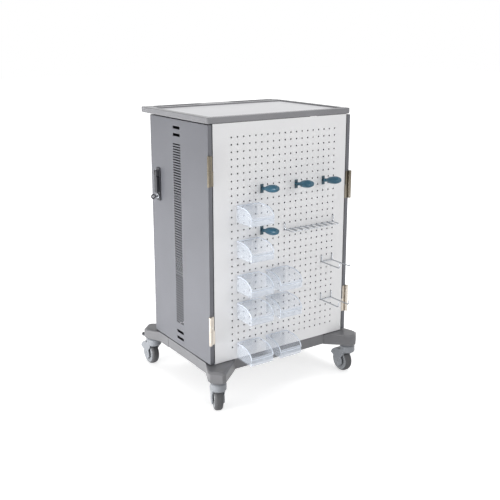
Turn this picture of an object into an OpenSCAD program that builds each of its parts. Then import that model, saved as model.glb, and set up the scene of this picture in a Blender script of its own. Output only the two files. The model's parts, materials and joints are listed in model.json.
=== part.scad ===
// Mobile cabinet cart with a perforated tool panel, a lockable door at each end and four casters.
// Frame: +Z up from the floor, -Y out of the perforated panel, X from door to door.
// The origin is on the floor, under the middle of the cabinet.

/* [Cabinet] */
// Width over both closed doors
body_w = 626; // [600:2:680]
// Depth from the perforated panel to the rear panel
body_d = 424; // [400:2:450]
// Height of the cabinet's underside above the floor
base_z = 168; // [164:1:172]
// Height of the cabinet's upper edge above the floor
top_z = 1030; // [1024:1:1060]
// Thickness of the steel sheet
sheet = 1.5; // [1:0.1:2]
// Height of the lower shelf
low_shelf_z = 455; // [440:1:470]
// Height of the upper shelf
high_shelf_z = 742; // [720:1:760]

/* [Doors] */
// Thickness of a door pan
door_t = 16; // [14:1:18]
// Bend radius of a door's latch edge
door_r = 12; // [8:1:13]
// Number of vent slots in a door
vent_count = 72; // [20:1:74]
// Distance between vent slots
vent_pitch = 9.5; // [9:0.1:9.6]
// Length of a vent slot
vent_w = 54; // [30:1:60]
// Height of a vent slot
vent_h = 4.4; // [3:0.1:5]
// Height of a hinge
hinge_h = 104; // [90:1:110]
// Diameter of a hinge barrel
barrel_d = 12; // [11:0.5:12.5]
// Middle height of the lower hinges
low_hinge_z = 301; // [280:1:320]
// Middle height of the left door's upper hinge
left_hinge_z = 871; // [840:1:900]
// Middle height of the right door's upper hinge
right_hinge_z = 760; // [740:1:900]

/* [Perforated panel] */
// Columns of holes
hole_cols = 19; // [19:1:20]
// Rows of holes
hole_rows = 31; // [31:1:32]
// Distance between holes
hole_pitch = 25.4; // [25:0.1:25.5]
// Diameter of a hole
hole_d = 6.35; // [6:0.05:7]
// Sideways shift of the hole field from the middle of the panel
hole_shift = 9; // [0:1:12]
// Height of the upper row of holes
hole_top_z = 980; // [978:1:984]

/* [Top] */
// Thickness of the top
top_t = 22; // [18:1:28]
// Reach of the handle ledge behind the cabinet
handle_reach = 67; // [60:1:80]
// Width of the rim round the work surface
rim_w = 22; // [16:1:28]
// Depth of the work surface below the rim
rim_h = 5; // [3:1:7]
// Length of a hand slot
grip_l = 207; // [120:1:220]
// Width of a hand slot
grip_w = 32; // [28:1:34]

/* [Base and casters] */
// Height of a base rail
rail_h = 40; // [36:1:42]
// Distance of a caster from the middle, along X
caster_x = 302; // [296:1:306]
// Distance of a caster from the middle, along Y
caster_y = 247; // [240:1:250]
// Diameter of a wheel
wheel_d = 90; // [86:1:92]
// Width of a wheel
wheel_w = 34; // [30:1:36]
// Distance that a wheel trails behind its swivel
trail = 28; // [24:1:30]
// Rest angle of the front left caster
front_left_turn = -24; // [-45:1:45]

/* [Fittings] */
// Width of a bin
bin_w = 96; // [80:1:97]
// Depth of a bin
bin_d = 92; // [70:1:95]
// Height of a bin's back
bin_h = 58; // [50:1:62]
// Height of a bin's front lip
bin_lip = 22; // [15:1:26]
// Largest diameter of a tool peg
peg_d = 28; // [20:1:28]
// Upward tilt of a tool peg
peg_tilt = 9; // [0:1:12]
// Reach of the wire hooks out of the panel
hook_reach = 110; // [90:1:120]

/* [Hidden] */
$fn = 48;

// Cabinet planes
half_w = body_w / 2;
front_y = -body_d / 2;
rear_y = body_d / 2;
door_in = half_w - door_t;
door_gap = 3;
door_hole_gap = 1;
side_x = door_in - door_gap;
panel_gap = 0.5;
panel_half = side_x - panel_gap;
panel_z0 = base_z + 3;
panel_z1 = top_z - 0.5;
post_w = 18;
post_y = rear_y - sheet - post_w;
shelf_lip = 20;
run_fit = 0.05;

// Doors
door_z0 = base_z + 4.5;
door_z1 = top_z - 3;
vent_y = 4;
vent_top_z = 938;
window_w = 49;
window_h = 10;
window_z = [998, 972, 226, 200];
stiffener_y = [-100, 95];
stiffener_w = 40;
stiffener_end = 30;
stiffener_gap = 2;
pin_r = 3;
barrel_r = barrel_d / 2;
knuckle_gap = 0.5;
hinge_x = half_w + 1;
hinge_y = front_y - barrel_r - knuckle_gap;
leaf_t = 2;
leaf_gap = 0.4;
leaf_fold_t = 1.8;
left_hinges = [low_hinge_z, left_hinge_z];
right_hinges = [low_hinge_z, right_hinge_z];

// Door handles, drawn on the right door
handle_y = 143;
plate_z0 = 710;
plate_h = 125;
plate_w = 28;
plate_t = 5;
plate_r = 6;
plate_x = half_w + plate_t;
spindle_z = plate_z0 + 105;
spindle_r = 7;
head_gap = 0.5;
head_x0 = plate_x + head_gap;
head_l = 12;
head_w = 18;
head_h = 20;
tongue_w = 8;
tongue_t = 6;
tongue_r = 4.5;
tongue_gap = 0.3;
lever_pin_r = 2.5;
lever_pin_x = head_x0 + head_l - 5.5;
lever_x0 = head_x0 + 1.5;
lever_t = 9;
lever_w = 20;
lever_r = 4;
lever_z0 = plate_z0 + 31;
lever_gap = 2;
lever_z1 = spindle_z - head_h / 2 - lever_gap;
cam_x0 = side_x - 9;
cam_t = 4;
cam_w = 18;
cam_gap = 2;
lock_z = plate_z0 + 17;
lock_r = 9;
lock_depth = 4;
lock_proud = 4;
key_t = 2.4;
key_w = 7;
key_bow_r = 10;
key_hole_r = 5;
key_bow_x = plate_x + lock_proud + 17.5;
key_gap = 0.1;

// Top
top_y1 = rear_y + handle_reach;
top_z1 = top_z + top_t;
top_corner = 8;
top_edge = 3.5;
recess_y0 = front_y + rim_w;
recess_y1 = rear_y - 9;
recess_x = half_w - rim_w;
recess_r = 8;
surface_t = 3;
grip_y0 = rear_y + 14;
grip_x0 = 68;
grip_r = 12;

// Base and casters
rail_w = 34;
rail_wall = 2;
rail_inset = 1.5;
arm_l = 106;
arm_w = 36;
lug_half = 33;
lug_cut = 10;
lug_z = 126;
lug_bevel = 3;
lug_shoulder = 8;
wheel_r = wheel_d / 2;
stem_r = 6;
stem_l = 32;
flange_r = 26;
flange_t = 6.5;
swivel_gap = 0.5;
head_r = 29;
head_z0 = 88;
head_bevel = 5;
head_z1 = lug_z - flange_t - swivel_gap;
kingpin_l = 18;
hood_r = wheel_r + 6;
hood_in_r = wheel_r + 3;
hood_in_w = wheel_w + 3;
hood_arm = 5;
hood_w = hood_in_w + 2 * hood_arm;
hood_boss_r = 22;
hood_front = 132;
hood_back = 25;
axle_r = 4;
axle_cap_r = 8;
axle_cap_t = 1.5;
hub_r = 37;
hub_w = wheel_w - 2;
hub_ring = [15, 31];
hub_ring_t = 3;
tyre_edge = 13;
pedal_y = 39;
pedal_z = 105;
pedal_reach = 80;
pedal_w = 30;
pedal_t = 4;
pedal_pad = 15;
pedal_lift = 2;
pedal_neck = 12;
pedal_barrel_r = 6.5;
pedal_barrel_w = 20;
pedal_pin_r = 3;
ear_t = 4;
ear_gap = 0.5;
ear_h = 14;
ear_edge = 3;

// Fittings on the perforated panel
field_x0 = hole_shift - (hole_cols - 1) * hole_pitch / 2;
prong_r = 2.6;
prong_l = 9;
left_bin_col = 2.5;
right_bin_col = 7.5;
left_bin_rows = [10, 15, 20, 24, 30];
right_bin_rows = [20, 24, 30];
bin_drop = 1.7;
bin_wall = 2;
bin_level = 0.4;
bin_hook_w = 40;
bin_hook_t = 1.8;
bin_hook_h = 11;
bin_hook_gap = 0.3;
clip_w = 36;
clip_t = 2.5;
clip_y = front_y - 3.5;
clip_top = 4;
clip_drop = 6;
bin_y = clip_y - clip_t - bin_hook_gap;
peg_spots = [[5, 7], [11, 7], [16, 7], [5, 13]];
peg_base = [12, 3, 32];
peg_neck = 20;
peg_sink = 1;
peg_neck_r = 5;
peg_root_r = 6;
peg_swell = 160;
peg_l = 74;
wire_r = 2;
loop_wire_r = 1.8;
weld_step = 0.2;
rack_cols = [9, 18];
rack_row = 14;
rack_y = front_y - 5;
rack_loops = 8;
rack_reach = 30;
rack_loop_r = 11;
hook_cols = [16, 18];
hook_rows = [20, 26];
hook_wire_r = 2.2;
hook_y = front_y - 4;
hook_bend = 8;
hook_tip = 10;
screw_r = 2;
screw_head_r = 4;
screw_head_t = 2;
screw_spots = [for (x = [-1, 1], z = [40, 290, 570, 820]) [x * (panel_half - 15), panel_z0 + z]];

function col_x(c) = field_x0 + c * hole_pitch;
function row_z(r) = hole_top_z - r * hole_pitch;
function bin_z(r) = row_z(r + bin_drop);

// Shapes that repeat
module box(low, high) translate(low) cube(high - low);
module rod_x(x0, x1, y, z, r) translate([x0, y, z]) rotate([0, 90, 0]) cylinder(r = r, h = x1 - x0);
module rod_y(y0, y1, x, z, r) translate([x, y0, z]) rotate([-90, 0, 0]) cylinder(r = r, h = y1 - y0);
module rod_z(z0, z1, x, y, r) translate([x, y, z0]) cylinder(r = r, h = z1 - z0);
module slab_x(x0, x1) translate([x0, 0, 0]) rotate([90, 0, 90]) linear_extrude(x1 - x0) children();
module slab_y(y0, y1) translate([0, y1, 0]) rotate([90, 0, 0]) linear_extrude(y1 - y0) children();
module slab_z(z0, z1) translate([0, 0, z0]) linear_extrude(z1 - z0) children();
module both_sides() for (s = [0, 1]) mirror([s, 0, 0]) children();
module four_corners() for (s = [0, 1]) mirror([0, s, 0]) both_sides() children();
module left_side() mirror([1, 0, 0]) children();
module at_caster(sx, sy, turn) translate([sx * caster_x, sy * caster_y, 0]) rotate(turn) children();

module round_rect(low, high, r) {
    translate([low.x + r, low.y]) square([high.x - low.x - 2 * r, high.y - low.y]);
    translate([low.x, low.y + r]) square([high.x - low.x, high.y - low.y - 2 * r]);
    for (x = [low.x + r, high.x - r], y = [low.y + r, high.y - r]) translate([x, y]) circle(r);
}

// Base
module base_rails() color("dimgray") {
    rail_x = half_w - arm_l;
    rail_y = rear_y - arm_l;
    z0 = base_z - rail_h + rail_inset;
    for (s = [0, 1]) mirror([0, s, 0])
        rail_tube([-rail_x, rear_y - rail_inset - rail_w, z0], [rail_x, rear_y - rail_inset, base_z], 0);
    both_sides()
        rail_tube([half_w - rail_inset - rail_w, -rail_y, z0], [half_w - rail_inset, rail_y, base_z], 1);
}

// A rectangular tube along X (along = 0) or Y (along = 1)
module rail_tube(low, high, along) {
    wall = along == 0 ? [0, rail_wall, rail_wall] : [rail_wall, 0, rail_wall];
    past = along == 0 ? [1, 0, 0] : [0, 1, 0];
    difference() {
        box(low, high);
        box(low + wall - past, high - wall + past);
    }
}

module corner_castings() color("dimgray") four_corners() difference() {
    union() {
        hull() {
            box([half_w - arm_l, rear_y - arm_w, base_z - rail_h], [half_w, rear_y, base_z]);
            translate([caster_x, caster_y]) {
                slab_z(lug_z, base_z - lug_shoulder) lug_plan(lug_half - lug_bevel);
                slab_z(lug_z + lug_bevel, base_z - lug_shoulder) lug_plan(lug_half);
                slab_z(lug_z + lug_bevel, base_z) lug_plan(lug_half - lug_shoulder);
            }
        }
        box([half_w - arm_w, rear_y - arm_l, base_z - rail_h], [half_w, rear_y, base_z]);
    }
    rod_z(lug_z - 1, lug_z + stem_l, caster_x, caster_y, stem_r);
}

// Plan of the lug over a caster: a square with cut corners, one flat facing out of the cabinet's corner
module lug_plan(half) {
    flat = half - lug_cut;
    rotate(45) polygon([
        [half, -flat], [half, flat], [flat, half], [-flat, half],
        [-half, flat], [-half, -flat], [-flat, -half], [flat, -half]
    ]);
}

module caster_stems() color("silver") four_corners() {
    rod_z(lug_z, lug_z + stem_l, caster_x, caster_y, stem_r);
    rod_z(lug_z - flange_t, lug_z, caster_x, caster_y, flange_r);
    rod_z(head_z1 - kingpin_l, lug_z - flange_t, caster_x, caster_y, stem_r);
}

// Cabinet
module floor_sheet() color("gray")
    box([-side_x, front_y + sheet, base_z], [side_x, rear_y - sheet, base_z + sheet]);

module corner_posts() color("gray") four_corners() {
    low = [side_x - post_w, post_y, base_z + sheet];
    high = [side_x, post_y + post_w, top_z];
    wall = [sheet, sheet, -1];
    difference() {
        box(low, high);
        box(low + wall, high - wall);
    }
}

module perforated_panel() color("whitesmoke") slab_y(front_y, front_y + sheet) difference() {
    translate([-panel_half, panel_z0]) square([2 * panel_half, panel_z1 - panel_z0]);
    for (c = [0 : hole_cols - 1], r = [0 : hole_rows - 1])
        translate([col_x(c), row_z(r)]) circle(d = hole_d);
}

module rear_panel() color("gray") slab_y(rear_y - sheet, rear_y) difference() {
    translate([-panel_half, panel_z0]) square([2 * panel_half, panel_z1 - panel_z0]);
    for (p = screw_spots) translate(p) circle(screw_r);
}

module panel_screws() color("silver") for (p = screw_spots) {
    rod_y(rear_y - sheet, rear_y, p.x, p.y, screw_r);
    rod_y(rear_y, rear_y + screw_head_t, p.x, p.y, screw_head_r);
}

module shelf(z) {
    x = side_x - sheet;
    box([-x, -post_y, z - sheet], [x, post_y, z]);
    for (s = [0, 1]) mirror([0, s, 0])
        box([-x, post_y - sheet, z - shelf_lip], [x, post_y, z - sheet]);
    both_sides() box([x - sheet, -post_y, z - shelf_lip], [x, post_y, z - sheet]);
}

module shelves() color("lightgray") {
    shelf(low_shelf_z);
    shelf(high_shelf_z);
}

// Top: a slab with rounded edges, a recess for the work surface and two hand slots
module edge_profile(w, t, r) {
    square([w - r, t]);
    translate([0, r]) square([w, t - 2 * r]);
    for (y = [r, t - r]) translate([w - r, y]) circle(r);
}

// A slab with round corners in plan and round upper and lower edges
module soft_slab(low, high, corner, edge) {
    size = high - low;
    inner = size - [2 * corner, 2 * corner, 0];
    translate(low + [corner, corner, 0]) {
        cube(inner);
        for (k = [0 : 3]) {
            spot = [k == 0 || k == 3 ? inner.x : 0, k < 2 ? inner.y : 0, 0];
            side = k % 2 == 0 ? inner.y : inner.x;
            translate(spot) rotate(90 * k) {
                rotate_extrude(angle = 90) edge_profile(corner, size.z, edge);
                rotate([90, 0, 0]) linear_extrude(side) edge_profile(corner, size.z, edge);
            }
        }
    }
}

module top_frame() color("dimgray") difference() {
    soft_slab([-half_w, front_y, top_z], [half_w, top_y1, top_z1], top_corner, top_edge);
    slab_z(top_z1 - rim_h - surface_t, top_z1 + 1) recess_shape();
    both_sides() slab_z(top_z - 1, top_z1 + 1)
        round_rect([grip_x0, grip_y0], [grip_x0 + grip_l, grip_y0 + grip_w], grip_r);
}

module recess_shape() round_rect([-recess_x, recess_y0], [recess_x, recess_y1], recess_r);

module work_surface() color("gainsboro") slab_z(top_z1 - rim_h - surface_t, top_z1 - rim_h) recess_shape();

// Doors, drawn on the right and mirrored to the left
module door_outline(inset) {
    x0 = inset > 0 ? door_in - 1 : door_in;
    y0 = front_y + inset;
    round_r = door_r - inset;
    flat_x = half_w - door_r;
    flat_y = rear_y - door_r;
    translate([x0, y0]) square([half_w - inset - x0, flat_y - y0]);
    translate([x0, y0]) square([flat_x - x0, rear_y - inset - y0]);
    intersection() {
        translate([flat_x, flat_y]) circle(round_r);
        translate([flat_x, flat_y]) square(door_r);
    }
}

module door_skin() difference() {
    slab_z(door_z0, door_z1) door_outline(0);
    slab_z(door_z0 + sheet, door_z1 - sheet) door_outline(sheet);
    for (i = [0 : vent_count - 1]) vent(vent_top_z - i * vent_pitch, vent_w, vent_h);
    for (z = window_z) vent(z, window_w, window_h);
    rod_x(door_in, half_w + 1, handle_y, spindle_z, spindle_r + door_hole_gap);
    rod_x(door_in, half_w + 1, handle_y, lock_z, lock_r + door_hole_gap);
}

module vent(z, w, h)
    box([half_w - 2 * sheet, vent_y - w / 2, z - h / 2], [half_w + 1, vent_y + w / 2, z + h / 2]);

module door_stiffeners() for (y = stiffener_y) {
    x0 = door_in + stiffener_gap;
    x1 = half_w - sheet;
    slab_z(door_z0 + stiffener_end, door_z1 - stiffener_end) difference() {
        translate([x0, y - stiffener_w / 2]) square([x1 - x0, stiffener_w]);
        translate([x0 + sheet, y - stiffener_w / 2 + sheet]) square([x1 - x0, stiffener_w - 2 * sheet]);
    }
}

module barrel(z0, z1, bore_r) difference() {
    union() {
        rod_z(z0, z1, hinge_x, hinge_y, barrel_r);
        children();
    }
    rod_z(z0 - 1, z1 + 1, hinge_x, hinge_y, bore_r);
}

module door_hinge(z) {
    z0 = z + knuckle_gap / 2;
    z1 = z + hinge_h / 2;
    barrel(z0, z1, pin_r + run_fit) box([door_in + leaf_gap, front_y - leaf_t, z0], [hinge_x, front_y, z1]);
}

module fixed_hinge(z) {
    z0 = z - hinge_h / 2;
    z1 = z - knuckle_gap / 2;
    y0 = front_y - leaf_gap - leaf_t;
    barrel(z0, z1, pin_r) {
        box([side_x, y0, z0], [hinge_x, y0 + leaf_t, z1]);
        box([side_x, y0, z0], [side_x + leaf_fold_t, front_y + sheet + post_w, z1]);
    }
}

module hinge_pin(z) {
    cap_z = z + hinge_h / 2 + leaf_gap;
    rod_z(z - hinge_h / 2, cap_z, hinge_x, hinge_y, pin_r);
    rod_z(cap_z, cap_z + leaf_t, hinge_x, hinge_y, barrel_r);
}

module hinge_leaves() color("silver") {
    for (z = right_hinges) fixed_hinge(z);
    left_side() for (z = left_hinges) fixed_hinge(z);
}

module hinge_pins() color("silver") {
    for (z = right_hinges) hinge_pin(z);
    left_side() for (z = left_hinges) hinge_pin(z);
}

module handle_plate() difference() {
    low = [handle_y - plate_w / 2, plate_z0];
    slab_x(half_w, plate_x) round_rect(low, low + [plate_w, plate_h], plate_r);
    rod_x(half_w - 1, plate_x + 1, handle_y, spindle_z, spindle_r + run_fit);
    rod_x(half_w - 1, plate_x + 1, handle_y, lock_z, lock_r + run_fit);
}

module handle_cam() {
    x1 = head_x0 + head_l;
    cam_y1 = post_y - cam_gap;
    rod_x(cam_x0, head_x0 + 1, handle_y, spindle_z, spindle_r);
    box([cam_x0, handle_y - cam_w / 2, spindle_z - cam_w / 2],
        [cam_x0 + cam_t, cam_y1, spindle_z + cam_w / 2]);
    rod_y(handle_y - head_w / 2, handle_y + head_w / 2, lever_pin_x, spindle_z, lever_pin_r);
    difference() {
        box([head_x0, handle_y - head_w / 2, spindle_z - head_h / 2],
            [x1, handle_y + head_w / 2, spindle_z + head_h / 2]);
        box([lever_pin_x - tongue_r - head_gap, handle_y - tongue_w / 2, spindle_z - head_h],
            [x1 + 1, handle_y + tongue_w / 2, spindle_z + head_h]);
    }
}

module handle_lever() difference() {
    half_tongue = tongue_w / 2 - tongue_gap;
    union() {
        rod_y(handle_y - half_tongue, handle_y + half_tongue, lever_pin_x, spindle_z, tongue_r);
        box([lever_pin_x - tongue_t / 2, handle_y - half_tongue, lever_z1 - 1],
            [lever_pin_x + tongue_t / 2, handle_y + half_tongue, spindle_z]);
        slab_x(lever_x0, lever_x0 + lever_t)
            round_rect([handle_y - lever_w / 2, lever_z0], [handle_y + lever_w / 2, lever_z1], lever_r);
    }
    rod_y(handle_y - lever_w, handle_y + lever_w, lever_pin_x, spindle_z, lever_pin_r + run_fit);
}

module lock_plug() difference() {
    rod_x(half_w - lock_depth, plate_x + lock_proud, handle_y, lock_z, lock_r);
    key_blade(key_gap);
}

module key_blade(gap) box(
    [half_w - gap, handle_y - key_t / 2 - gap, lock_z - key_w / 2 - gap],
    [key_bow_x - key_hole_r, handle_y + key_t / 2 + gap, lock_z + key_w / 2 + gap]
);

module key() difference() {
    union() {
        rod_y(handle_y - key_t / 2, handle_y + key_t / 2, key_bow_x, lock_z, key_bow_r);
        key_blade(0);
    }
    rod_y(handle_y - key_t, handle_y + key_t, key_bow_x, lock_z, key_hole_r);
}

module left_door_skin() color("darkgray") left_side() door_skin();
module left_door_stiffeners() color("gray") left_side() door_stiffeners();
module left_door_hinges() color("silver") left_side() for (z = left_hinges) door_hinge(z);
module left_handle_plate() color("dimgray") left_side() handle_plate();
module left_handle_cam() color("silver") left_side() handle_cam();
module left_handle_lever() color("dimgray") left_side() handle_lever();
module left_lock_plug() color("silver") left_side() lock_plug();
module left_key() color("silver") left_side() key();
module right_door_skin() color("darkgray") door_skin();
module right_door_stiffeners() color("gray") door_stiffeners();
module right_door_hinges() color("silver") for (z = right_hinges) door_hinge(z);
module right_handle_plate() color("dimgray") handle_plate();
module right_handle_cam() color("silver") handle_cam();
module right_handle_lever() color("dimgray") handle_lever();
module right_lock_plug() color("silver") lock_plug();
module right_key() color("silver") key();

// Casters, drawn with the swivel axis at the origin and the wheel trailing towards +Y
module hood(braked) color("lightsteelblue") {
    difference() {
        union() {
            rotate_extrude() head_profile();
            intersection() {
                rod_x(-hood_w / 2, hood_w / 2, trail, wheel_r, hood_r);
                slab_x(-hood_w, hood_w) translate([trail, wheel_r]) hood_sector();
            }
            rod_x(-hood_w / 2, hood_w / 2, trail, wheel_r, hood_boss_r);
            if (braked) pedal_ears();
        }
        rod_x(-hood_in_w / 2, hood_in_w / 2, trail, wheel_r, hood_in_r);
        rod_x(-hood_w, hood_w, trail, wheel_r, axle_r);
        rod_z(head_z1 - kingpin_l - swivel_gap, head_z1 + 1, 0, 0, stem_r + run_fit);
    }
    pin_x = pedal_barrel_w / 2 + ear_t;
    if (braked) rod_x(-pin_x, pin_x, pedal_y, pedal_z, pedal_pin_r);
}

// Half section of the collar over the wheel, with a bevel at its upper and lower edge
module head_profile() polygon([
    [0, head_z0], [head_r - head_bevel, head_z0], [head_r, head_z0 + head_bevel],
    [head_r, head_z1 - head_bevel], [head_r - head_bevel, head_z1], [0, head_z1]
]);

// The part of the hood that is left round the wheel: from over the front to behind the axle
module hood_sector() {
    reach = 2 * hood_r;
    polygon([
        [0, 0], reach * [cos(hood_front), sin(hood_front)], [-reach, reach], [reach, reach],
        reach * [cos(hood_back), sin(hood_back)]
    ]);
}

module pedal_ears() both_sides() {
    x0 = pedal_barrel_w / 2 + ear_gap;
    r = pedal_pin_r + ear_edge;
    slab_x(x0, x0 + ear_t) {
        translate([pedal_y, pedal_z]) circle(r);
        translate([pedal_y - r, pedal_z - ear_h]) square([2 * r, ear_h]);
    }
}

module axle() color("silver") {
    x1 = hood_w / 2;
    rod_x(-x1, x1, trail, wheel_r, axle_r);
    both_sides() rod_x(x1, x1 + axle_cap_t, trail, wheel_r, axle_cap_r);
}

module hub() color("gray") difference() {
    rod_x(-hub_w / 2, hub_w / 2, trail, wheel_r, hub_r);
    rod_x(-wheel_w, wheel_w, trail, wheel_r, axle_r + run_fit);
    both_sides() difference() {
        rod_x(hub_w / 2 - hub_ring_t, hub_w, trail, wheel_r, hub_ring[1]);
        rod_x(0, wheel_w, trail, wheel_r, hub_ring[0]);
    }
}

module tyre() color("dimgray") translate([0, trail, wheel_r]) rotate([0, 90, 0]) rotate_extrude()
    difference() {
        translate([0, -wheel_w / 2]) edge_profile(wheel_r, wheel_w, tyre_edge);
        translate([-1, -wheel_w]) square([hub_r + 1, 2 * wheel_w]);
    }

module pedal() color("dimgray") difference() {
    union() {
        z0 = pedal_z + pedal_lift;
        neck_y = pedal_y + pedal_neck;
        rod_x(-pedal_barrel_w / 2, pedal_barrel_w / 2, pedal_y, pedal_z, pedal_barrel_r);
        box([-pedal_barrel_w / 2, pedal_y, z0], [pedal_barrel_w / 2, neck_y, z0 + pedal_t]);
        box([-pedal_w / 2, neck_y, z0], [pedal_w / 2, pedal_reach, z0 + pedal_t]);
        box([-pedal_w / 2, pedal_reach - pedal_pad, z0], [pedal_w / 2, pedal_reach, z0 + 2 * pedal_t]);
    }
    rod_x(-pedal_w, pedal_w, pedal_y, pedal_z, pedal_pin_r + run_fit);
}

module front_left() at_caster(-1, -1, front_left_turn) children();
module front_right() at_caster(1, -1, 0) children();
module rear_left() at_caster(-1, 1, 0) children();
module rear_right() at_caster(1, 1, 0) children();
module front_left_hood() front_left() hood(false);
module front_left_axle() front_left() axle();
module front_left_hub() front_left() hub();
module front_left_tyre() front_left() tyre();
module front_right_hood() front_right() hood(false);
module front_right_axle() front_right() axle();
module front_right_hub() front_right() hub();
module front_right_tyre() front_right() tyre();
module rear_left_hood() rear_left() hood(true);
module rear_left_axle() rear_left() axle();
module rear_left_hub() rear_left() hub();
module rear_left_tyre() rear_left() tyre();
module rear_left_pedal() rear_left() pedal();
module rear_right_hood() rear_right() hood(true);
module rear_right_axle() rear_right() axle();
module rear_right_hub() rear_right() hub();
module rear_right_tyre() rear_right() tyre();
module rear_right_pedal() rear_right() pedal();

// Fittings hung on the perforated panel
module prong(c, r, y0) rod_y(y0, front_y + prong_l, col_x(c), row_z(r), prong_r);

// Side of a bin: the upper edge runs level from the back and then falls in a quarter ellipse to the lip
module bin_side() {
    fall_d = bin_d * (1 - bin_level);
    fall_h = bin_h - bin_lip;
    fall = [for (a = [0 : 10 : 90]) [bin_y - bin_d + fall_d * (1 - sin(a)), bin_lip + fall_h * cos(a)]];
    polygon(concat([[bin_y, 0], [bin_y, bin_h]], fall, [[bin_y - bin_d, 0]]));
}

module bin(c, r) color("aliceblue", 0.5) translate([col_x(c), 0, bin_z(r)]) {
    hook_x = bin_hook_w / 2;
    hook_y1 = clip_y + bin_hook_gap + bin_hook_t;
    hook_z = bin_h - bin_wall;
    difference() {
        slab_x(-bin_w / 2, bin_w / 2) bin_side();
        box([-bin_w / 2 + bin_wall, bin_y - bin_d + bin_wall, bin_wall],
            [bin_w / 2 - bin_wall, bin_y - bin_wall, bin_h + 1]);
    }
    box([-hook_x, bin_y, hook_z], [hook_x, hook_y1, bin_h]);
    box([-hook_x, hook_y1 - bin_hook_t, bin_h - bin_hook_h], [hook_x, hook_y1, hook_z]);
}

module bin_clip(c, r) {
    x0 = col_x(c) - clip_w / 2;
    z1 = bin_z(r) + bin_h - clip_top;
    box([x0, clip_y - clip_t, row_z(r) - clip_drop], [x0 + clip_w, clip_y, z1]);
    for (k = [c - 0.5, c + 0.5]) prong(k, r, clip_y);
}

module bin_clips() color("whitesmoke") {
    for (r = left_bin_rows) bin_clip(left_bin_col, r);
    for (r = right_bin_rows) bin_clip(right_bin_col, r);
}

module left_bin_1() bin(left_bin_col, left_bin_rows[0]);
module left_bin_2() bin(left_bin_col, left_bin_rows[1]);
module left_bin_3() bin(left_bin_col, left_bin_rows[2]);
module left_bin_4() bin(left_bin_col, left_bin_rows[3]);
module left_bin_5() bin(left_bin_col, left_bin_rows[4]);
module right_bin_1() bin(right_bin_col, right_bin_rows[0]);
module right_bin_2() bin(right_bin_col, right_bin_rows[1]);
module right_bin_3() bin(right_bin_col, right_bin_rows[2]);

// Frame of a peg: the origin is on the front of its bracket, and +Z points out and up along the peg
module at_peg(p) translate([col_x(p.x), front_y - peg_base.y, row_z(p.y + 0.5)])
    rotate([90 - peg_tilt, 0, 0]) children();

module peg_brackets() color("darkslategray") for (p = peg_spots) {
    for (r = [p.y, p.y + 1]) prong(p.x, r, front_y);
    translate([col_x(p.x) - peg_base.x / 2, front_y - peg_base.y, row_z(p.y + 0.5) - peg_base.z / 2])
        cube(peg_base);
    at_peg(p) translate([0, 0, -peg_sink]) cylinder(r = peg_neck_r, h = peg_neck + peg_sink);
}

// A peg swells from its neck and narrows again to a blunt front end
function peg_radius(t) = peg_root_r + (peg_d / 2 - peg_root_r) * sin(peg_swell * t);

module tool_pegs() color("steelblue") for (p = peg_spots) at_peg(p) translate([0, 0, peg_neck])
    rotate_extrude() polygon(concat(
        [[0, 0]], [for (t = [0 : 0.1 : 1]) [peg_radius(t), t * peg_l]], [[0, peg_l]]
    ));

module wire_bend(bend_r, r, angle) rotate_extrude(angle = angle) translate([bend_r, 0]) circle(r);

module wire_rack() color("silver") {
    x0 = col_x(rack_cols[0]);
    x1 = col_x(rack_cols[1]);
    z = row_z(rack_row);
    z1 = row_z(rack_row - 1);
    pitch = (x1 - x0) / rack_loops;
    end_y = rack_y - rack_reach;
    rod_x(x0 - wire_r, x1 + wire_r, rack_y, z, wire_r);
    for (c = rack_cols) {
        rod_z(z, z1 + wire_r, col_x(c), rack_y, loop_wire_r);
        rod_y(rack_y, front_y + prong_l, col_x(c), z1, loop_wire_r - weld_step);
    }
    for (i = [0 : rack_loops - 1]) translate([x0 + pitch * (i + 0.5), 0, z]) {
        for (s = [-1, 1]) rod_y(end_y, rack_y, s * rack_loop_r, 0, loop_wire_r);
        translate([0, end_y, 0]) rotate(180) wire_bend(rack_loop_r, loop_wire_r, 180);
    }
}

module wire_hook(row) {
    z = row_z(row);
    z1 = row_z(row - 1);
    tip_y = front_y - hook_reach + hook_wire_r + hook_bend;
    bar_r = hook_wire_r + weld_step;
    rod_x(col_x(hook_cols[0]) - bar_r, col_x(hook_cols[1]) + bar_r, hook_y, z, bar_r);
    for (c = hook_cols) translate([col_x(c), 0, 0]) {
        rod_y(tip_y, hook_y, 0, z, hook_wire_r);
        translate([0, tip_y, z + hook_bend]) rotate([90, 0, -90]) rotate(-90)
            wire_bend(hook_bend, hook_wire_r, 90);
        rod_z(z + hook_bend, z + hook_bend + hook_tip, 0, tip_y - hook_bend, hook_wire_r);
        rod_z(z, z1 + hook_wire_r, 0, hook_y, hook_wire_r);
        rod_y(hook_y, front_y + prong_l, 0, z1, hook_wire_r - weld_step);
    }
}

module wire_hooks() color("silver") for (row = hook_rows) wire_hook(row);

base_rails();
corner_castings();
caster_stems();
floor_sheet();
corner_posts();
perforated_panel();
rear_panel();
top_frame();
work_surface();
shelves();
hinge_leaves();
hinge_pins();
panel_screws();
peg_brackets();
tool_pegs();
wire_rack();
wire_hooks();
bin_clips();
left_door_skin();
left_door_stiffeners();
left_door_hinges();
left_handle_plate();
left_handle_cam();
left_handle_lever();
left_lock_plug();
left_key();
right_door_skin();
right_door_stiffeners();
right_door_hinges();
right_handle_plate();
right_handle_cam();
right_handle_lever();
right_lock_plug();
right_key();
front_left_hood();
front_left_axle();
front_left_hub();
front_left_tyre();
front_right_hood();
front_right_axle();
front_right_hub();
front_right_tyre();
rear_left_hood();
rear_left_axle();
rear_left_hub();
rear_left_tyre();
rear_left_pedal();
rear_right_hood();
rear_right_axle();
rear_right_hub();
rear_right_tyre();
rear_right_pedal();
left_bin_1();
left_bin_2();
left_bin_3();
left_bin_4();
left_bin_5();
right_bin_1();
right_bin_2();
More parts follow.
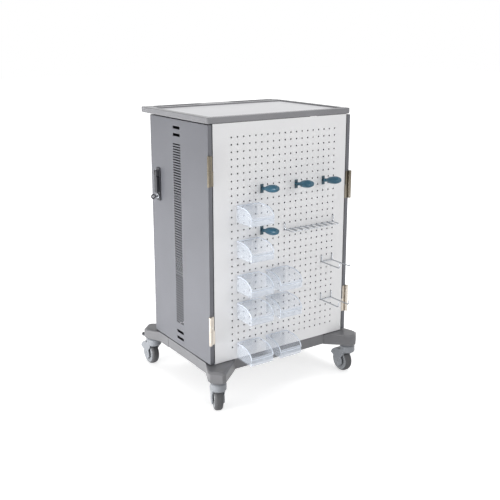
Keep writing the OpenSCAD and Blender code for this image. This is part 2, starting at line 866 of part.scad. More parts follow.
right_bin_3();
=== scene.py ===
import json
import math

import bmesh
import bpy
from mathutils import Matrix, Vector

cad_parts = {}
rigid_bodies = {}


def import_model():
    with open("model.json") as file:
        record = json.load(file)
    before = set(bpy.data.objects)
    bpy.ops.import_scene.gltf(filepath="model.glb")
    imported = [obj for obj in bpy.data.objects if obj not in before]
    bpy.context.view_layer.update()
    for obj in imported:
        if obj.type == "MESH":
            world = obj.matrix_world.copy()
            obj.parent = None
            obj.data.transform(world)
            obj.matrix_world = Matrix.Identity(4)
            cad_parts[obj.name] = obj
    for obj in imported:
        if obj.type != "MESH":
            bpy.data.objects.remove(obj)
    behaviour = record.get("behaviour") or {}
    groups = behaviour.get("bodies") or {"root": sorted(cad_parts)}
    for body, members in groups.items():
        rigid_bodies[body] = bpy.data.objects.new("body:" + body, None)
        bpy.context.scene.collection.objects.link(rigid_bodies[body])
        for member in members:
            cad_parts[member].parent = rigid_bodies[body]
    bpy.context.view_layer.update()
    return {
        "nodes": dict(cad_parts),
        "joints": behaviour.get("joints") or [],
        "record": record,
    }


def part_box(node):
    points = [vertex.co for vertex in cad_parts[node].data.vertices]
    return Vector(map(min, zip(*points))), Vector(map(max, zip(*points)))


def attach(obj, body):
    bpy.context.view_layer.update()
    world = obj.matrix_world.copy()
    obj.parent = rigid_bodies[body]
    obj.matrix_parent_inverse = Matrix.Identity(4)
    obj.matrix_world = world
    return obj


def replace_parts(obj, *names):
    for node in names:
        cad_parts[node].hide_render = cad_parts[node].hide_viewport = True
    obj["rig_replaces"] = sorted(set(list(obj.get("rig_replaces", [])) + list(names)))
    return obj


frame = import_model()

NODES = frame["nodes"]
BODY_OF = {n: body for body, names in frame["record"]["behaviour"]["bodies"].items() for n in names}
SLOT_OF = {s["node"]: s["material_slot"] for s in frame["record"]["subparts"]}
JOINTS = {j["name"]: j for j in frame["joints"]}
CORNERS = ("front_left", "front_right", "rear_left", "rear_right")
BRAKED = CORNERS[2:]
SIDES = ("left", "right")
BINS = [n for n in NODES if "_bin_" in n]
MM = 0.001

# Camera, fitted to the photograph: metres, degrees, millimetres, and the shift as a share of the frame
CAMERA_PLACE = (-1.618, -2.376, 1.327)
CAMERA_YAW = -34.28
CAMERA_PITCH = -13.10
CAMERA_LENS = 55.0
CAMERA_SENSOR = 36.0
CAMERA_SHIFT = -0.08

# Lights: name, place, target, size, and power in watts
LIGHTS = (
    ("left_key", (-1.75, 0.0, 0.1), (0, 0, 0.25), (1.2, 0.6), 49),
    ("top_soft", (0.3, 0.2, 3.6), (0, 0, 0.9), (2.4, 2.4), 45),
    ("front_fill", (1.2, -3.5, 1.8), (0, 0, 0.7), (2.0, 2.0), 38),
)
WORLD_STRENGTH = 0.45

# Floor: half its side, its paleness, and its glow with the distances over which that rises to white
FLOOR_HALF = 20.0
FLOOR_PALE = 0.80
FLOOR_GLOW = (0.6, 1.0)
FLOOR_GLOW_REACH = (0.5, 1.5)

# Pads of the brake pedals and their ribs
PAD_L, PAD_H, PAD_SKIN, PAD_EDGE = 17 * MM, 9 * MM, 0.7 * MM, 2 * MM
PAD_RIBS, RIB_FIRST = 4, 0.7
RIB_INSET, RIB_HALF, RIB_RISE, RIB_EDGE = 2 * MM, 1 * MM, 1.8 * MM, 0.6 * MM

# Caster hoods: voxel, rounds of smoothing, share of the faces kept
HOOD_VOXEL, HOOD_ROUNDS, HOOD_KEEP = 1.2 * MM, 5, 0.25

# Vent slots as in the solids, and their blades: half width, and section as (depth, height) in mm
VENT_COUNT, VENT_PITCH, VENT_Z = 72, 9.5 * MM, 938 * MM
VENT_Y = 4 * MM
BLADE_HALF = 28 * MM
BLADE = ((2.2, 3.0), (2.2, 2.1), (5.8, 0.0), (6.4, 0.7))

# Holes of the panel as in the solids: pitch, face of the panel, upper left hole
PITCH = 25.4 * MM
PANEL_Y = -212 * MM
HOLE_X, HOLE_Z = 9 * MM - 9 * PITCH, 980 * MM

# Bins as in the solids, and the bead on their rim
BIN_BACK = PANEL_Y - 6.3 * MM
BIN_WALL, BIN_LIP, BIN_FALL = 2 * MM, 22 * MM, 0.6
RIM_R, RIM_STEP = 1.8 * MM, 6
RIM_CORNER, RIM_CORNER_CUT = 4 * MM, 1.2 * MM

# Pegs: spots as (column, row), sizes after the solids, and the shape of sleeve, belly and nose
PEG_SPOTS = ((5, 7), (11, 7), (16, 7), (5, 13))
PEG_BASE, PEG_NECK, PEG_TILT = 3 * MM, 20 * MM, 9
PEG_ROOT, PEG_R, PEG_L, PEG_ROUND = 6 * MM, 14 * MM, 74 * MM, 4 * MM
PEG_SLEEVE, PEG_CHAMFER = 13 * MM, 0.8 * MM
PEG_BELLY, PEG_TAIL, PEG_NOSE = 0.62, 0.62, 0.50
PEG_STEPS, PEG_BLEND = 40, 4

# Wire rack and wire hooks, after the solids; their hangers are a little thinner
RACK_COLS, RACK_ROW, RACK_LOOPS = (9, 18), 14, 8
RACK_GAP, RACK_REACH, RACK_BEND = 5 * MM, 30 * MM, 3.5 * MM
BAR_R, LOOP_WIRE_R, LOOP_R = 2 * MM, 1.8 * MM, 11 * MM
HOOK_COLS, HOOK_ROWS = (16, 18), (20, 26)
HOOK_R, HOOK_GAP, HOOK_REACH = 2.2 * MM, 4 * MM, 110 * MM
HOOK_BEND, HOOK_RISE, HOOK_TOP_BEND = 8 * MM, 17 * MM, 3 * MM
PRONG_IN, WIRE_STEP = 8 * MM, 0.2 * MM

# Screws of the rear panel: places on it, and the outline of a head as (radius, height) in mm
SCREW_X, SCREW_Z = 278.5 * MM, (40 * MM, 290 * MM, 570 * MM, 820 * MM)
SCREW_HEAD = ((0, 0.7), (1.2, 0.7), (1.5, 1.9), (2.4, 1.8), (3.5, 1.1), (4, 0.3), (4, 0), (2, 0),
              (2, -1.5), (0, -1.5))

# Edge radii of the pieces that follow their solids, in mm
EDGE = {"top_frame": 1.0, "base_rails": 2.0, "work_surface": 0.4, "door_skin": 0.7, "peg_brackets": 0.8,
        "bin_clips": 0.5, "handle_plate": 1.4, "handle_lever": 1.6, "lock_plug": 0.6}
EDGE_ELSE = 0.4

# Meshes: distance at which corners are joined, angle under which faces are one, rings of a wire's domed end
WELD = 0.002 * MM
FLAT = 0.5
DOME = (1.35, 0.85, 0.4)

# Colours, as linear values
GREY = (0.124, 0.127, 0.143)
WHITE = (0.84, 0.84, 0.85)
DARK_GREY = (0.215, 0.215, 0.228)
RAIL_GREY = (0.152, 0.152, 0.160)
SURFACE = (0.58, 0.58, 0.60)
SHELF_GREY = (0.45, 0.46, 0.48)
ZINC = (0.48, 0.44, 0.39)
# Painted reflection: the dark colour that plating turns to higher up, as if it mirrored a darker room above
REFLECTION_DARK = (0.105, 0.090, 0.065)
CHROME = (0.44, 0.46, 0.49)
NICKEL = (0.16, 0.16, 0.17)
BLACK = (0.022, 0.023, 0.029)
CASTER_GREY = (0.240, 0.253, 0.275)
HUB_GREY = (0.215, 0.225, 0.240)
TYRE_GREY = (0.075, 0.076, 0.080)
CLIP_WHITE = (0.70, 0.71, 0.74)
TEAL = (0.017, 0.092, 0.148)
TEAL_DARK = (0.013, 0.052, 0.078)
CLEAR = (0.82, 0.88, 0.97)

# Finishes: scale of the slow shades, spread of the gloss, and the heights over which a plating darkens in a
# painted reflection
CLOUD_SCALE = 7.0
GLOSS_SPREAD = 0.05
REFLECTION_FROM, REFLECTION_TO, REFLECTION_MOST = 0.4, 0.8, 0.9

# Clear plastic: its streaks, their gloss and relief, and where its front wall ends as a share of the depth
FLOW_SCALE, FLOW_STRETCH = 14.0, (1, 1, 0.3)
FLOW_ROUGH, FLOW_BUMP = (0.10, 0.20), 0.05 * MM
FRONT_WALL = (0.02, 0.06)


# Materials

def new_material(name):
    """A material with a Principled shader; returns it, its nodes, its links and the shader."""
    material = bpy.data.materials.new(name)
    material.use_nodes = True
    nodes = material.node_tree.nodes
    return material, nodes, material.node_tree.links, nodes["Principled BSDF"]


def noise(nodes, links, scale, detail=3.0, stretch=(1, 1, 1)):
    """A noise texture in the object's own metres; stretch below 1 draws it out along an axis."""
    place = nodes.new("ShaderNodeTexCoord")
    mapping = nodes.new("ShaderNodeMapping")
    mapping.inputs["Scale"].default_value = stretch
    texture = nodes.new("ShaderNodeTexNoise")
    texture.inputs["Scale"].default_value = scale
    texture.inputs["Detail"].default_value = detail
    links.new(place.outputs["Object"], mapping.inputs["Vector"])
    links.new(mapping.outputs["Vector"], texture.inputs["Vector"])
    return texture.outputs["Fac"]


def spread(nodes, links, value, low, high, start=0.3, end=0.7):
    """Maps a value from start..end to low..high; the defaults suit a noise."""
    node = nodes.new("ShaderNodeMapRange")
    node.inputs["From Min"].default_value = start
    node.inputs["From Max"].default_value = end
    node.inputs["To Min"].default_value = low
    node.inputs["To Max"].default_value = high
    links.new(value, node.inputs["Value"])
    return node.outputs["Result"]


def coordinate(nodes, links, kind, axis):
    """One axis of a texture coordinate."""
    place = nodes.new("ShaderNodeTexCoord")
    axes = nodes.new("ShaderNodeSeparateXYZ")
    links.new(place.outputs[kind], axes.inputs[0])
    return axes.outputs[axis]


def joined(nodes, links, operation, one, two):
    """Two values put together by a math node."""
    node = nodes.new("ShaderNodeMath")
    node.operation = operation
    links.new(one, node.inputs[0])
    links.new(two, node.inputs[1])
    return node.outputs[0]


def relief(nodes, links, height, distance, shader):
    """Gives a shader a relief from a height value."""
    bump = nodes.new("ShaderNodeBump")
    bump.inputs["Distance"].default_value = distance
    links.new(height, bump.inputs["Height"])
    links.new(bump.outputs["Normal"], shader.inputs["Normal"])


def shade(color, factor):
    """The colour, lighter or darker by a factor, as four numbers."""
    return (*(min(1.0, c * factor) for c in color), 1.0)


def surface(name, color, rough, cloud=0.06, grain=0.9 * MM, bump=0.05 * MM, metal=0.0,
            painted_reflection=None, stretch=(1, 1, 1)):
    """A finish with slow shade changes, a fine grain in relief and uneven gloss.

    With a painted reflection colour, the finish darkens towards it higher up. This is a painted reflection
    of a darker room above, and the lower parts stay pale as if they mirrored the white floor.
    """
    material, nodes, links, shader = new_material(name)
    shader.inputs["Metallic"].default_value = metal
    mix = nodes.new("ShaderNodeMix")
    mix.data_type = "RGBA"
    mix.inputs["A"].default_value = shade(color, 1 - cloud)
    mix.inputs["B"].default_value = shade(color, 1 + cloud)
    slow = noise(nodes, links, CLOUD_SCALE)
    fine = noise(nodes, links, 1.0 / grain, 2.0, stretch)
    links.new(spread(nodes, links, slow, 0.0, 1.0), mix.inputs["Factor"])
    paint = mix.outputs["Result"]
    # Painted reflection: the colour darkens with height alone, standing in for a darker surround mirrored
    # above
    if painted_reflection:
        height = coordinate(nodes, links, "Object", "Z")
        turned = nodes.new("ShaderNodeMix")
        turned.data_type = "RGBA"
        turned.inputs["B"].default_value = (*painted_reflection, 1.0)
        share = spread(nodes, links, height, 0.0, REFLECTION_MOST, REFLECTION_FROM, REFLECTION_TO)
        links.new(share, turned.inputs["Factor"])
        links.new(paint, turned.inputs["A"])
        paint = turned.outputs["Result"]
    links.new(paint, shader.inputs["Base Color"])
    gloss = spread(nodes, links, fine, rough - GLOSS_SPREAD, rough + GLOSS_SPREAD)
    links.new(gloss, shader.inputs["Roughness"])
    relief(nodes, links, fine, bump, shader)
    return material


def clear_plastic(name, color, low, high, front):
    """Clear moulded plastic, milky from low to high in streaks, and more by front in the front wall."""
    material, nodes, links, shader = new_material(name)
    shader.inputs["Base Color"].default_value = (*color, 1.0)
    flow = noise(nodes, links, FLOW_SCALE, 1.0, FLOW_STRETCH)
    depth = coordinate(nodes, links, "Generated", "Y")
    streaks = spread(nodes, links, flow, low, high)
    wall = spread(nodes, links, depth, front, 0.0, *FRONT_WALL)
    links.new(joined(nodes, links, "ADD", streaks, wall), shader.inputs["Alpha"])
    links.new(spread(nodes, links, flow, *FLOW_ROUGH), shader.inputs["Roughness"])
    relief(nodes, links, flow, FLOW_BUMP, shader)
    return material


FINISH = {
    "grey_paint": surface("grey_powder_coat", GREY, 0.42, cloud=0.04),
    "white_paint": surface("white_powder_coat", WHITE, 0.40, cloud=0.015),
    "dark_grey": surface("satin_moulding", DARK_GREY, 0.30, bump=0.015 * MM),
    "rail_paint": surface("rail_powder_coat", RAIL_GREY, 0.34, bump=0.015 * MM),
    "surface": surface("pale_laminate", SURFACE, 0.33, cloud=0.02, grain=0.6 * MM, bump=0.03 * MM),
    "shelf_paint": surface("shelf_powder_coat", SHELF_GREY, 0.45),
    # Zinc plating, with a painted reflection that darkens it higher up
    "zinc": surface("zinc_plate", ZINC, 0.30, cloud=0.12, grain=0.5 * MM, bump=0.02 * MM, metal=1.0,
                    painted_reflection=REFLECTION_DARK, stretch=(1, 1, 0.1)),
    "nickel": surface("dark_nickel", NICKEL, 0.30, cloud=0.10, grain=0.5 * MM, bump=0.02 * MM, metal=1.0),
    "chrome": surface("chrome_wire", CHROME, 0.12, cloud=0.05, grain=0.8 * MM, bump=0.01 * MM, metal=1.0),
    "handle_black": surface("handle_moulding", BLACK, 0.40, bump=0.06 * MM),
    "caster_grey": surface("caster_moulding", CASTER_GREY, 0.40),
    "hub_grey": surface("hub_moulding", HUB_GREY, 0.38, bump=0.04 * MM),
    "tyre_grey": surface("tyre_rubber", TYRE_GREY, 0.62, cloud=0.10, grain=1.2 * MM, bump=0.12 * MM),
    "pedal_grey": surface("pedal_moulding", CASTER_GREY, 0.42),
    "clear": clear_plastic("clear_plastic", CLEAR, low=0.13, high=0.18, front=0.22),
    "clear_rim": clear_plastic("clear_rim", CLEAR, low=0.65, high=0.75, front=0.15),
    "clip_white": surface("clip_moulding", CLIP_WHITE, 0.38),
    "teal": surface("teal_moulding", TEAL, 0.36, cloud=0.10, grain=0.7 * MM),
    "teal_dark": surface("dark_teal_moulding", TEAL_DARK, 0.40),
}


# Meshes

def add_piece(name, bm, slot, body, *nodes, smooth=35.0, finish=None):
    """Makes a piece of a bmesh in the frame's metres; it rides on a body and stands for CAD nodes."""
    mesh = bpy.data.meshes.new(name)
    bmesh.ops.recalc_face_normals(bm, faces=bm.faces)
    bm.to_mesh(mesh)
    bm.free()
    for face in mesh.polygons:
        face.use_smooth = True
    mesh.set_sharp_from_angle(angle=math.radians(smooth))
    mesh.materials.append(FINISH[finish or slot])
    piece = bpy.data.objects.new(name, mesh)
    bpy.context.scene.collection.objects.link(piece)
    piece.modifiers.new("flat_faces", "WEIGHTED_NORMAL").keep_sharp = True
    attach(piece, body)
    if nodes:
        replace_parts(piece, *nodes)
    return piece


def welded(node):
    """A copy of a CAD node's mesh with its corners joined and its flat faces whole."""
    bm = bmesh.new()
    bm.from_mesh(NODES[node].data)
    bmesh.ops.remove_doubles(bm, verts=bm.verts, dist=WELD)
    bmesh.ops.dissolve_limit(bm, angle_limit=math.radians(FLAT), verts=bm.verts, edges=bm.edges)
    return bm


def soften(bm, width, sharp=40.0, segments=2):
    """Rounds the edges that are sharper than an angle."""
    limit = math.radians(sharp)
    edges = [e for e in bm.edges if len(e.link_faces) == 2 and e.calc_face_angle(0) > limit]
    bmesh.ops.bevel(bm, geom=edges, offset=width, offset_type="OFFSET", segments=segments, profile=0.5,
                    affect="EDGES", clamp_overlap=True)
    return bm


def softened(node, width, finish=None):
    """A piece like a CAD node, with rounded edges."""
    bm = soften(welded(node), width)
    return add_piece(node + "_soft", bm, SLOT_OF[node], BODY_OF[node], node, finish=finish)


def lathe(bm, profile, matrix, segments=72):
    """Turns a closed outline of (radius, height) points round a matrix's Z axis."""
    rings = []
    for i in range(segments):
        turn = Matrix.Rotation(2 * math.pi * i / segments, 4, "Z")
        rings.append([bm.verts.new(matrix @ turn @ Vector((r, 0, h))) for r, h in profile])
    count = len(profile)
    for i in range(segments):
        one, two = rings[i], rings[(i + 1) % segments]
        for k in range(count):
            n = (k + 1) % count
            bm.faces.new((one[k], two[k], two[n], one[n]))
    bmesh.ops.remove_doubles(bm, verts=bm.verts, dist=WELD)
    return bm


def along(place, axis):
    """A matrix that puts Z along an axis at a place."""
    return Matrix.Translation(place) @ Vector(axis).to_track_quat("Z", "Y").to_matrix().to_4x4()


def arc(cx, cy, r, start, end, steps=6):
    """Points of an arc, with its ends, in degrees."""
    angles = [math.radians(start + (end - start) * i / steps) for i in range(steps + 1)]
    return [(cx + r * math.cos(a), cy + r * math.sin(a)) for a in angles]


def filleted(points, radius, steps=6):
    """A path whose inner corners are turned into arcs."""
    points = [Vector(p) for p in points]
    path = [points[0]]
    for before, corner, after in zip(points, points[1:], points[2:]):
        one, two = (before - corner).normalized(), (after - corner).normalized()
        half = one.angle(two) / 2
        middle = corner + (one + two).normalized() * (radius / math.sin(half))
        start = (corner + one * (radius / math.tan(half)) - middle).normalized()
        end = (corner + two * (radius / math.tan(half)) - middle).normalized()
        path += [middle + start.slerp(end, i / steps) * radius for i in range(steps + 1)]
    return path + [points[-1]]


def stations(path, radius, closed):
    """Places and radii along a wire; an open wire gets a dome at each end."""
    points = [Vector(p) for p in path]
    middle = [(p, radius) for p in points]
    if closed:
        return middle
    head, tail = (points[0] - points[1]).normalized(), (points[-1] - points[-2]).normalized()
    rise = [(radius * math.sin(a), radius * math.cos(a)) for a in DOME]
    return ([(points[0] + head * d, r) for d, r in rise] + middle
            + [(points[-1] + tail * d, r) for d, r in reversed(rise)])


def wire(bm, path, radius, closed=False, sides=14):
    """A round wire along a path."""
    spots = stations(path, radius, closed)
    count = len(spots)
    turns = [2 * math.pi * k / sides for k in range(sides)]
    rings = []
    normal = None
    for i, (point, r) in enumerate(spots):
        ahead = spots[(i + 1) % count][0] if closed or i + 1 < count else point
        behind = spots[i - 1][0] if closed or i else point
        course = (ahead - behind).normalized()
        normal = course.orthogonal() if normal is None else normal - course * normal.dot(course)
        normal.normalize()
        side = course.cross(normal)
        rings.append([bm.verts.new(point + r * (math.cos(t) * normal + math.sin(t) * side)) for t in turns])
    for i in range(count if closed else count - 1):
        one, two = rings[i], rings[(i + 1) % count]
        for k in range(sides):
            n = (k + 1) % sides
            bm.faces.new((one[k], one[n], two[n], two[k]))
    if not closed:
        bm.faces.new(rings[0])
        bm.faces.new(rings[-1])


def block(bm, low, high, edge):
    """A block with rounded edges."""
    made = bmesh.ops.create_cube(bm, size=1.0)["verts"]
    low, high = Vector(low), Vector(high)
    bmesh.ops.scale(bm, vec=high - low, verts=made)
    bmesh.ops.translate(bm, vec=(low + high) / 2, verts=made)
    edges = {e for v in made for e in v.link_edges}
    bmesh.ops.bevel(bm, geom=list(edges), offset=edge, segments=3, profile=0.5, affect="EDGES")


def moulded(node, voxel, rounds, keep):
    """A piece like a CAD node with every edge melted round, as a moulding has it."""
    mesh = bpy.data.meshes.new(node + "_raw")
    bm = welded(node)
    bm.to_mesh(mesh)
    bm.free()
    raw = bpy.data.objects.new(node + "_raw", mesh)
    bpy.context.scene.collection.objects.link(raw)
    remesh = raw.modifiers.new("remesh", "REMESH")
    remesh.mode = "VOXEL"
    remesh.voxel_size = voxel
    raw.modifiers.new("smooth", "SMOOTH").iterations = rounds
    raw.modifiers.new("thin", "DECIMATE").ratio = keep
    done = raw.evaluated_get(bpy.context.evaluated_depsgraph_get())
    bm = bmesh.new()
    bm.from_mesh(done.to_mesh())
    done.to_mesh_clear()
    bpy.data.objects.remove(raw)
    bpy.data.meshes.remove(mesh)
    return add_piece(node + "_moulded", bm, SLOT_OF[node], BODY_OF[node], node, smooth=180.0)


# Casters

# Upper halves of the wheels' outlines, as (radius, height) in mm
TYRE_HALF = [(33, 14.9), (38.2, 15.2)] + arc(32, 4, 13, 59, 0, 10)
HUB_HALF = [(4.05, 15), (9, 15), (10, 15.8), (13.5, 15.8), (15, 13), (18.5, 13), (19.3, 14.4), (22, 14.4),
            (22.8, 13), (25.5, 13), (27, 15.7), (30.5, 16.7), (34, 16.7), (37, 16.2), (38, 15.3), (33, 15)]
AXLE_HALF = [(0, 25), (3, 24.9), (6, 24.6), (7.6, 24.1), (8, 23.5), (4, 23.5)]


def wheel_turned(corner, half, segments=72):
    """A bmesh turned round a wheel's axis, alike on both sides, from half of its outline."""
    joint = JOINTS[corner + "_roll"]
    upper = [(r * MM, h * MM) for r, h in half]
    lower = [(r, -h) for r, h in reversed(upper)]
    return lathe(bmesh.new(), upper + lower, along(joint["pos_m"], joint["axis"]), segments)


def tyre(corner):
    """A tyre with a round tread between the flanges of the wheel centre."""
    bm = wheel_turned(corner, TYRE_HALF, 96)
    add_piece(corner + "_tyre_ring", bm, "tyre_grey", corner + "_wheel", corner + "_tyre")


def hub(corner):
    """A wheel centre with rings on both faces and a flange over the tyre's side."""
    bm = wheel_turned(corner, HUB_HALF)
    add_piece(corner + "_wheel_centre", bm, "hub_grey", corner + "_wheel", corner + "_hub", smooth=25.0)


def axle(corner):
    """An axle with a domed cap at each end."""
    bm = wheel_turned(corner, AXLE_HALF, 48)
    add_piece(corner + "_axle_caps", bm, "zinc", corner + "_caster", corner + "_axle", finish="hub_grey")


def pedal_pad(corner):
    """A black ribbed pad over the outer end of a brake pedal."""
    low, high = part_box(corner + "_pedal")
    inner = high.y - PAD_L
    bm = bmesh.new()
    block(bm, (low.x - PAD_SKIN, inner, high.z - PAD_H),
          (high.x + PAD_SKIN, high.y + PAD_SKIN, high.z + PAD_SKIN), PAD_EDGE)
    for i in range(PAD_RIBS):
        y = inner + (i + RIB_FIRST) * PAD_L / PAD_RIBS
        block(bm, (low.x + RIB_INSET, y - RIB_HALF, high.z),
              (high.x - RIB_INSET, y + RIB_HALF, high.z + RIB_RISE), RIB_EDGE)
    add_piece(corner + "_pedal_pad", bm, "handle_black", corner + "_brake")


for corner in CORNERS:
    tyre(corner)
    hub(corner)
    axle(corner)
    moulded(corner + "_hood", HOOD_VOXEL, HOOD_ROUNDS, HOOD_KEEP)
for corner in BRAKED:
    pedal_pad(corner)
softened("caster_stems", 0.5 * MM, finish="nickel")
softened("corner_castings", 2.5 * MM, finish="rail_paint")


# Doors

def louvres(side):
    """Blades that slant down behind the vent slots of a door, so that nothing is seen through them."""
    low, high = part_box(side + "_door_skin")
    outer, inward = (low.x, 1) if side == "left" else (high.x, -1)
    count = len(BLADE)
    bm = bmesh.new()
    for i in range(VENT_COUNT):
        z = VENT_Z - i * VENT_PITCH
        ends = [[bm.verts.new((outer + inward * x * MM, y, z + h * MM)) for x, h in BLADE]
                for y in (VENT_Y - BLADE_HALF, VENT_Y + BLADE_HALF)]
        for k in range(count):
            n = (k + 1) % count
            bm.faces.new((ends[0][k], ends[0][n], ends[1][n], ends[1][k]))
        bm.faces.new(ends[0])
        bm.faces.new(ends[1])
    add_piece(side + "_louvres", bm, "grey_paint", side + "_door")


for side in SIDES:
    louvres(side)
    softened(side + "_key", 0.5 * MM, finish="nickel")
    softened(side + "_handle_cam", 0.8 * MM, finish="nickel")


# Fittings on the panel

def hole(col, row):
    """Middle of a hole on the panel's face; columns count from the left, rows from the top."""
    return Vector((HOLE_X + col * PITCH, PANEL_Y, HOLE_Z - row * PITCH))


def bin_rim(node):
    """A round bead along the upper edge of a bin."""
    low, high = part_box(node)
    inset, lip = BIN_WALL / 2, low.z + BIN_LIP
    left, right, front = low.x + inset, high.x - inset, low.y + inset
    fall_y, fall_z = BIN_FALL * (BIN_BACK - low.y), high.z - lip
    side = [(BIN_BACK - inset, high.z)]
    for angle in range(0, 90, RIM_STEP):
        a = math.radians(angle)
        side.append((low.y + fall_y * (1 - math.sin(a)), lip + fall_z * math.cos(a)))
    path = [(left, y, z) for y, z in side]
    path += [(left + RIM_CORNER_CUT, front + RIM_CORNER_CUT, lip), (left + RIM_CORNER, front, lip)]
    path += [(right - RIM_CORNER, front, lip), (right - RIM_CORNER_CUT, front + RIM_CORNER_CUT, lip)]
    path += [(right, y, z) for y, z in reversed(side)]
    bm = bmesh.new()
    wire(bm, path, RIM_R, closed=True, sides=10)
    add_piece(node + "_rim", bm, "clear", BODY_OF[node], finish="clear_rim")


def peg_profile():
    """Outline of a peg: a sleeve on the neck that runs into a fish-shaped body with a blunt, round end."""
    outline = [(0, -PEG_SLEEVE), (PEG_ROOT - PEG_CHAMFER, -PEG_SLEEVE), (PEG_ROOT, PEG_CHAMFER - PEG_SLEEVE)]
    for i in range(1, PEG_STEPS + 1):
        t = i / PEG_STEPS
        run = (t - PEG_BELLY) / (PEG_TAIL if t < PEG_BELLY else PEG_NOSE)
        body = PEG_R * math.sqrt(max(0.0, 1 - run * run))
        radius = (PEG_ROOT ** PEG_BLEND + body ** PEG_BLEND) ** (1 / PEG_BLEND)
        outline.append((radius, t * (PEG_L - PEG_ROUND)))
    tip_r = outline[-1][0]
    return outline + arc(tip_r - PEG_ROUND, PEG_L - PEG_ROUND, PEG_ROUND, 0, 90)[1:] + [(0, PEG_L)]


def tool_pegs():
    """The four teal pegs, turned."""
    bm = bmesh.new()
    tilt = math.radians(PEG_TILT)
    out = Vector((0, -math.cos(tilt), math.sin(tilt)))
    for col, row in PEG_SPOTS:
        root = hole(col, row + 0.5) + Vector((0, -PEG_BASE, 0)) + out * PEG_NECK
        lathe(bm, peg_profile(), along(root, out), 48)
    add_piece("tool_pegs_turned", bm, "teal", "cabinet", "tool_pegs")


def hanger(bm, col, row, out, bend, radius):
    """A wire that rises in front of the panel from a row and turns into the hole above."""
    above = hole(col, row - 1)
    path = [hole(col, row) + out, above + out, above + Vector((0, PRONG_IN, 0))]
    wire(bm, filleted(path, bend), radius)


def wire_rack():
    """The tool rack: a bar with loops, hung by a bent wire at each end."""
    bm = bmesh.new()
    out = Vector((0, -RACK_GAP, 0))
    first, last = (hole(col, RACK_ROW) + out for col in RACK_COLS)
    wire(bm, [first, last], BAR_R)
    for col in RACK_COLS:
        hanger(bm, col, RACK_ROW, out, RACK_BEND, LOOP_WIRE_R - WIRE_STEP)
    bend = [Vector((x, y - RACK_REACH, 0)) for x, y in arc(0, 0, LOOP_R, 180, 360, 14)]
    loop = [Vector((-LOOP_R, 0, 0))] + bend + [Vector((LOOP_R, 0, 0))]
    step = (last - first) / RACK_LOOPS
    for i in range(RACK_LOOPS):
        middle = first + step * (i + 0.5)
        wire(bm, [middle + p for p in loop], LOOP_WIRE_R)
    add_piece("wire_rack_bent", bm, "chrome", "cabinet", "wire_rack")


def wire_hooks():
    """Two double hooks with upturned, domed ends."""
    bm = bmesh.new()
    out = Vector((0, -HOOK_GAP, 0))
    for row in HOOK_ROWS:
        wire(bm, [hole(col, row) + out for col in HOOK_COLS], HOOK_R + WIRE_STEP)
        for col in HOOK_COLS:
            tip = hole(col, row) + Vector((0, HOOK_R - HOOK_REACH, 0))
            path = [hole(col, row) + out, tip, tip + Vector((0, 0, HOOK_RISE))]
            wire(bm, filleted(path, HOOK_BEND), HOOK_R)
            hanger(bm, col, row, out, HOOK_TOP_BEND, HOOK_R - WIRE_STEP)
    add_piece("wire_hooks_bent", bm, "chrome", "cabinet", "wire_hooks")


def panel_screws():
    """Domed screws with a drive recess in the rear panel."""
    bm = bmesh.new()
    profile = [(r * MM, h * MM) for r, h in SCREW_HEAD]
    low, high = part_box("rear_panel")
    for x in (-SCREW_X, SCREW_X):
        for z in SCREW_Z:
            lathe(bm, profile, along((x, high.y, low.z + z), (0, 1, 0)), 24)
    add_piece("panel_screws_domed", bm, "zinc", "cabinet", "panel_screws")


for node in BINS:
    bin_rim(node)
tool_pegs()
wire_rack()
wire_hooks()
panel_screws()


# Every other solid, with rounded edges; the perforated panel keeps its mesh and only gets its paint
DONE = {n for o in bpy.data.objects for n in o.get("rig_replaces", [])}
for node in NODES:
    if node in DONE:
        continue
    if node == "perforated_panel":
        NODES[node].data.materials.clear()
        NODES[node].data.materials.append(FINISH[SLOT_OF[node]])
    else:
        kind = node.split("_", 1)[1] if node.startswith(SIDES) else node
        softened(node, EDGE.get(kind, EDGE_ELSE) * MM)


# Stage, light and camera

def seen_light(nodes, links):
    """1 where the camera looks, straight or by way of gloss or clear plastic, and 0 for lighting rays."""
    path = nodes.new("ShaderNodeLightPath")
    value = path.outputs["Is Camera Ray"]
    for kind in ("Is Glossy Ray", "Is Transmission Ray"):
        value = joined(nodes, links, "MAXIMUM", value, path.outputs[kind])
    return value


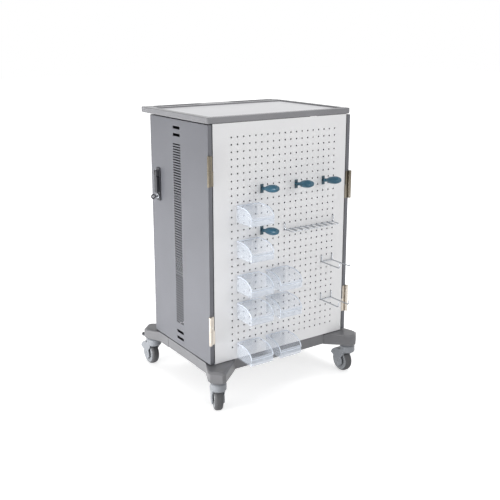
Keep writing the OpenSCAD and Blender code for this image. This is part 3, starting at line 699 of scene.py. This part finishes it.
def floor_material():
    """A pale floor, white all round and keeping the shadow near the cart."""
    material, nodes, links, shader = new_material("pale_floor")
    shader.inputs["Base Color"].default_value = (FLOOR_PALE, FLOOR_PALE, FLOOR_PALE, 1.0)
    shader.inputs["Roughness"].default_value = 0.9
    shader.inputs["Specular IOR Level"].default_value = 0.0
    shader.inputs["Emission Color"].default_value = (1, 1, 1, 1)
    place = nodes.new("ShaderNodeTexCoord")
    reach = nodes.new("ShaderNodeVectorMath")
    reach.operation = "LENGTH"
    links.new(place.outputs["Object"], reach.inputs[0])
    glow = spread(nodes, links, reach.outputs["Value"], *FLOOR_GLOW, *FLOOR_GLOW_REACH)
    level = joined(nodes, links, "MULTIPLY", seen_light(nodes, links), glow)
    links.new(level, shader.inputs["Emission Strength"])
    return material


def add_floor(half):
    """A square floor under the wheels."""
    mesh = bpy.data.meshes.new("floor")
    corners = [(-half, -half, 0), (half, -half, 0), (half, half, 0), (-half, half, 0)]
    mesh.from_pydata(corners, [], [(0, 1, 2, 3)])
    mesh.materials.append(floor_material())
    floor = bpy.data.objects.new("floor", mesh)
    bpy.context.scene.collection.objects.link(floor)


def add_world(strength):
    """A white room that lights the cart softly."""
    world = bpy.data.worlds.new("studio")
    bpy.context.scene.world = world
    world.use_nodes = True
    nodes, links = world.node_tree.nodes, world.node_tree.links
    background = nodes["Background"]
    background.inputs["Color"].default_value = (1, 1, 1, 1)
    level = spread(nodes, links, seen_light(nodes, links), strength, 1.0, 0.0, 1.0)
    links.new(level, background.inputs["Strength"])


def add_light(name, place, target, size, power):
    """A rectangular lamp that the camera does not see."""
    light = bpy.data.lights.new(name, "AREA")
    light.shape = "RECTANGLE"
    light.size, light.size_y = size
    light.energy = power
    lamp = bpy.data.objects.new(name, light)
    lamp.location = place
    lamp.rotation_mode = "QUATERNION"
    lamp.rotation_quaternion = (Vector(target) - Vector(place)).to_track_quat("-Z", "Y")
    lamp.visible_camera = False
    bpy.context.scene.collection.objects.link(lamp)


def add_camera():
    """The camera, as it was fitted to the photograph."""
    data = bpy.data.cameras.new("camera")
    data.lens = CAMERA_LENS
    data.sensor_width = CAMERA_SENSOR
    data.shift_y = CAMERA_SHIFT
    camera = bpy.data.objects.new("camera", data)
    yaw, pitch = math.radians(CAMERA_YAW), math.radians(CAMERA_PITCH)
    camera.location = CAMERA_PLACE
    camera.rotation_euler = (math.pi / 2 + pitch, 0, yaw)
    bpy.context.scene.collection.objects.link(camera)
    bpy.context.scene.camera = camera


add_floor(FLOOR_HALF)
add_world(WORLD_STRENGTH)
for light in LIGHTS:
    add_light(*light)
add_camera()
bpy.context.scene.view_settings.view_transform = "Standard"
